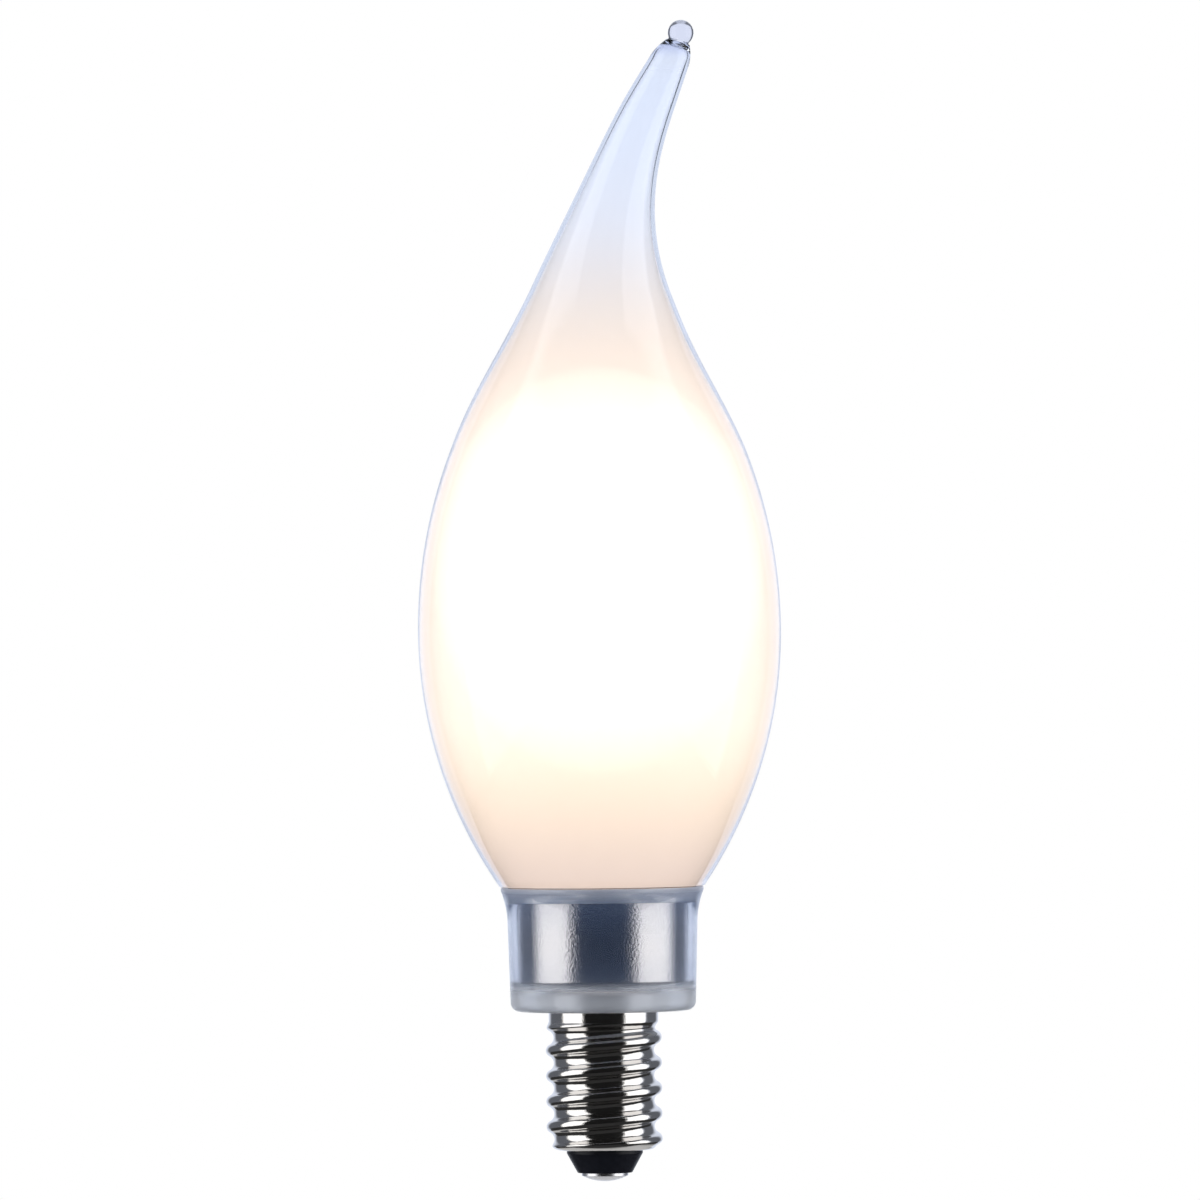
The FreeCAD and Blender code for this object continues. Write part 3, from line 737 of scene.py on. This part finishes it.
def brushed_metal():
    """Satin metal with fine lines round the axis and a speckled grain."""
    material, tree = new_material("brushed_metal")
    lines = tree.noise(500, 4.0, (0.25, 0.25, 14.0))
    grain = tree.noise(4500, 3.0)
    colour = tree.shade(lines, (0.65, 0.60, 0.54), (0.73, 0.67, 0.61))
    tree.finish(tree.principled(colour, Metallic=1.0, Roughness=tree.spread(lines, 0.1, 0.17),
                                Normal=tree.bump(grain, 1.0, 0.04)))
    return material


def nickel_plate():
    material, tree = new_material("nickel_plate")
    wear = tree.noise(700, 4.0)
    colour = tree.shade(wear, (0.66, 0.64, 0.62), (0.76, 0.75, 0.74))
    tree.finish(tree.principled(colour, Metallic=1.0, Roughness=tree.spread(wear, 0.07, 0.16),
                                Normal=tree.bump(tree.noise(6000, 2.0), 0.5, 0.012)))
    return material


def black_insulation():
    material, tree = new_material("black_insulation")
    grain = tree.noise(1500, 4.0)
    colour = tree.shade(grain, (0.008, 0.009, 0.014), (0.022, 0.024, 0.035))
    tree.finish(tree.principled(colour, Roughness=tree.spread(grain, 0.3, 0.45),
                                Specular_IOR_Level=0.2, Normal=tree.bump(grain, 0.2, 0.03)))
    return material


def bright_contact():
    material, tree = new_material("bright_contact")
    wear = tree.noise(1200, 4.0)
    colour = tree.shade(wear, (0.80, 0.80, 0.84), (0.90, 0.90, 0.93))
    tree.finish(tree.principled(colour, Metallic=1.0, Roughness=tree.spread(wear, 0.25, 0.38)))
    return material


# Studio

BOX_LIGHT = 1.6
OVERHEAD = 0.3
DARK_FRONT = 0.009
GREY_SIDES = 0.17
FILL = 0.45
WHITE = (1.0, 1.0, 1.0)
COOL = (0.80, 0.86, 1.0)

# Directions in degrees. The azimuth is 0 behind the camera, 90 on the right and 180 behind the
# lamp, and a pair is the two ends of a light unless a name says that it is a start and an edge.
LEFT_BOX = (-93.0, -47.5)
RIGHT_BOX = (49.0, 98.0)
BOX_FOOT = -34.0
BOX_FOOT_EDGE = 22.0
BOX_HEAD = 45.0
OVERHEAD_START = 72.0
OVERHEAD_EDGE = 4.0
SIDES_START = 102.0
EDGE = 6.0
BEHIND_START_AND_EDGE = (162.0, 26.0)
BEHIND_IN_GLASS_START_AND_EDGE = (143.0, 9.0)
BEHIND_HEIGHTS = (-50.0, 52.0)
BACKDROP_START = 135.0
BACKDROP_IN_FRONT = 36.0
BACKDROP_HEIGHTS = (-40.0, 55.0)
BACKDROP_EDGE = 8.0

# The camera and the floor, in metres
CAMERA_DISTANCE = 1.2
CAMERA_HEIGHT = 0.0581
CAMERA_ASIDE = 0.00008
CAMERA_ROLL = math.radians(0.59)
NEAREST_SEEN = 0.01
FRAME_WIDTH = 0.12
FLOOR_DEPTH = 0.25
FLOOR_WIDTH = 1.2
FLOOR_IN_GLASS = 0.25
# The floor's painted shade, the colour of its painted pool of light, and how much the eye's lift
# adds off and on that painted light
FLOOR_PAINTED_SHADE = (0.05,) * 3
FLOOR_PAINTED_LIGHT = (0.86,) * 3
LIFT_OFF_PAINTED_LIGHT = 0.97
LIFT_ON_PAINTED_LIGHT = 0.4
PAINTED_LIGHT_HALF_WIDTH = 0.12
PAINTED_LIGHT_SIDE_EDGE = 0.1
PAINTED_LIGHT_START = 0.14
PAINTED_LIGHT_START_EDGE = 0.08


def above(tree, value, low, soft):
    """1 where the value is over the limit, falling off softly under it."""
    return tree.add("MapRange", {"Value": value, "From Min": low - soft, "From Max": low},
                    interpolation_type="SMOOTHSTEP").outputs[0]


def below(tree, value, high, soft):
    """1 where the value is under the limit, falling off softly over it."""
    return tree.add("MapRange", {"Value": value, "From Min": high, "From Max": high + soft,
                                 "To Min": 1.0, "To Max": 0.0},
                    interpolation_type="SMOOTHSTEP").outputs[0]


def between(tree, value, low, high, soft):
    """1 where the value is between the limits, falling off softly outside them."""
    return tree.math("MULTIPLY", above(tree, value, low, soft), below(tree, value, high, soft))


def seen_through(tree, rays):
    """1 for rays that have only passed through something clear on their way from the eye."""
    turned_back = tree.math("ADD", rays["Glossy Depth"], rays["Diffuse Depth"])
    straight = tree.math("LESS_THAN", tree.math("ADD", turned_back, rays["Is Diffuse Ray"]), 0.5)
    return tree.math("MULTIPLY", rays["Is Transmission Ray"], straight)


def make_world():
    """What mirrors and clear surfaces see is a dark room in front, a tall soft light on either
    side, grey beyond them, and white behind the lamp and faintly overhead. All the rest gets at
    least an even fill, and the camera sees white."""
    world = bpy.data.worlds.new("studio")
    bpy.context.scene.world = world
    tree = Tree(world)
    rays = tree.add("LightPath").outputs
    through = seen_through(tree, rays)
    across, along, up = tree.add("SeparateXYZ", {
        "Vector": tree.add("TexCoord").outputs["Generated"]}).outputs
    to_front = tree.math("MULTIPLY", along, -1.0)
    azimuth = tree.math("MULTIPLY", tree.math("ARCTAN2", across, to_front), 180 / math.pi)
    elevation = tree.math("MULTIPLY", tree.math("ARCSINE", up), 180 / math.pi)
    aside = tree.math("ABSOLUTE", azimuth)

    both = tree.math("ADD", between(tree, azimuth, *LEFT_BOX, EDGE),
                     between(tree, azimuth, *RIGHT_BOX, EDGE))
    level = tree.math("MULTIPLY", above(tree, elevation, BOX_FOOT, BOX_FOOT_EDGE),
                      below(tree, elevation, BOX_HEAD, EDGE))
    boxes = tree.math("MULTIPLY", tree.math("MULTIPLY", both, level), BOX_LIGHT)
    overhead = tree.math("MULTIPLY", above(tree, elevation, OVERHEAD_START, OVERHEAD_EDGE),
                         OVERHEAD)
    sides = above(tree, aside, SIDES_START, EDGE)
    room = tree.spread(sides, DARK_FRONT, GREY_SIDES)
    white = tree.spread(rays["Is Transmission Ray"],
                        above(tree, aside, *BEHIND_START_AND_EDGE),
                        above(tree, aside, *BEHIND_IN_GLASS_START_AND_EDGE))
    behind = tree.math("MULTIPLY", white,
                       between(tree, elevation, *BEHIND_HEIGHTS, BACKDROP_EDGE))
    lights = tree.math("ADD", boxes, overhead)
    mirrored = tree.math("MAXIMUM", tree.math("ADD", lights, room), behind)

    facing = tree.math("ADD", above(tree, aside, BACKDROP_START, BACKDROP_EDGE),
                       below(tree, aside, BACKDROP_IN_FRONT, BACKDROP_EDGE))
    backdrop = tree.math("MULTIPLY", facing,
                         between(tree, elevation, *BACKDROP_HEIGHTS, BACKDROP_EDGE))
    light = tree.spread(rays["Is Glossy Ray"], tree.math("MAXIMUM", mirrored, FILL), mirrored)
    light = tree.spread(through, light, tree.math("MAXIMUM", mirrored, backdrop))
    light = tree.spread(rays["Is Camera Ray"], light, 1.0)
    mirrored_only = tree.math("MULTIPLY", rays["Is Glossy Ray"], tree.spread(through, 1.0, 0.0))
    cool = tree.math("MULTIPLY", sides, mirrored_only)
    background = tree.add("Background", {"Color": tree.shade(cool, WHITE, COOL),
                                         "Strength": light})
    tree.feed(tree.add("OutputWorld").inputs["Surface"], background.outputs[0])


def make_floor():
    """A floor well below the lamp, which is held by its screw base. Its colour is painted shade
    with a pale painted pool of light behind the lamp, and the eye sees all of it as pale as the
    backdrop."""
    bpy.ops.mesh.primitive_plane_add(size=FLOOR_WIDTH, location=(0, 0, -FLOOR_DEPTH))
    floor = bpy.context.object
    floor.name = "floor"
    material, tree = new_material("pale_floor")
    across, along = tree.add("SeparateXYZ", {"Vector": tree.place()}).outputs[:2]
    # Painted light: a pale pool on the floor behind the lamp; elsewhere the floor is painted dark
    # as shade
    lit = tree.math("MULTIPLY",
                    between(tree, across, -PAINTED_LIGHT_HALF_WIDTH, PAINTED_LIGHT_HALF_WIDTH, PAINTED_LIGHT_SIDE_EDGE),
                    above(tree, along, PAINTED_LIGHT_START, PAINTED_LIGHT_START_EDGE))
    grain = tree.spread(tree.noise(30), 0.98, 1.02)
    painted_light_share = tree.math("MULTIPLY", lit, grain)
    pale = tree.add("BsdfDiffuse", {"Color": tree.shade(painted_light_share, FLOOR_PAINTED_SHADE, FLOOR_PAINTED_LIGHT)})
    rays = tree.add("LightPath").outputs
    in_glass = tree.math("MULTIPLY", seen_through(tree, rays), FLOOR_IN_GLASS)
    seen = tree.math("ADD", rays["Is Camera Ray"], in_glass)
    # The eye's lift is smaller on the painted pool of light, so that all of the floor looks
    # equally pale
    lift = tree.add("Emission", {
        "Strength": tree.math("MULTIPLY", seen, tree.spread(lit, LIFT_OFF_PAINTED_LIGHT, LIFT_ON_PAINTED_LIGHT))})
    tree.finish(tree.add("AddShader", {0: pale.outputs[0], 1: lift.outputs[0]}).outputs[0])
    floor.data.materials.append(material)


def make_camera():
    camera = bpy.data.cameras.new("camera")
    camera.lens = camera.sensor_width * CAMERA_DISTANCE / FRAME_WIDTH
    camera.clip_start = NEAREST_SEEN
    viewer = bpy.data.objects.new("camera", camera)
    bpy.context.scene.collection.objects.link(viewer)
    up = Vector((math.sin(CAMERA_ROLL), 0, math.cos(CAMERA_ROLL)))
    back = Vector((0, -1, 0))
    turn = Matrix((up.cross(back), up, back)).transposed().to_4x4()
    where = Matrix.Translation((CAMERA_ASIDE, -CAMERA_DISTANCE, CAMERA_HEIGHT))
    viewer.matrix_world = where @ turn
    bpy.context.scene.camera = viewer


make_flame(clear_glass(), milky_coat(), lamp_glow())
make_collar(pale_plastic())
make_cup(brushed_metal())
make_shell(nickel_plate())
make_insulator(black_insulation())
make_contact(bright_contact())
make_world()
make_floor()
make_camera()
bpy.context.scene.view_settings.view_transform = "Standard"
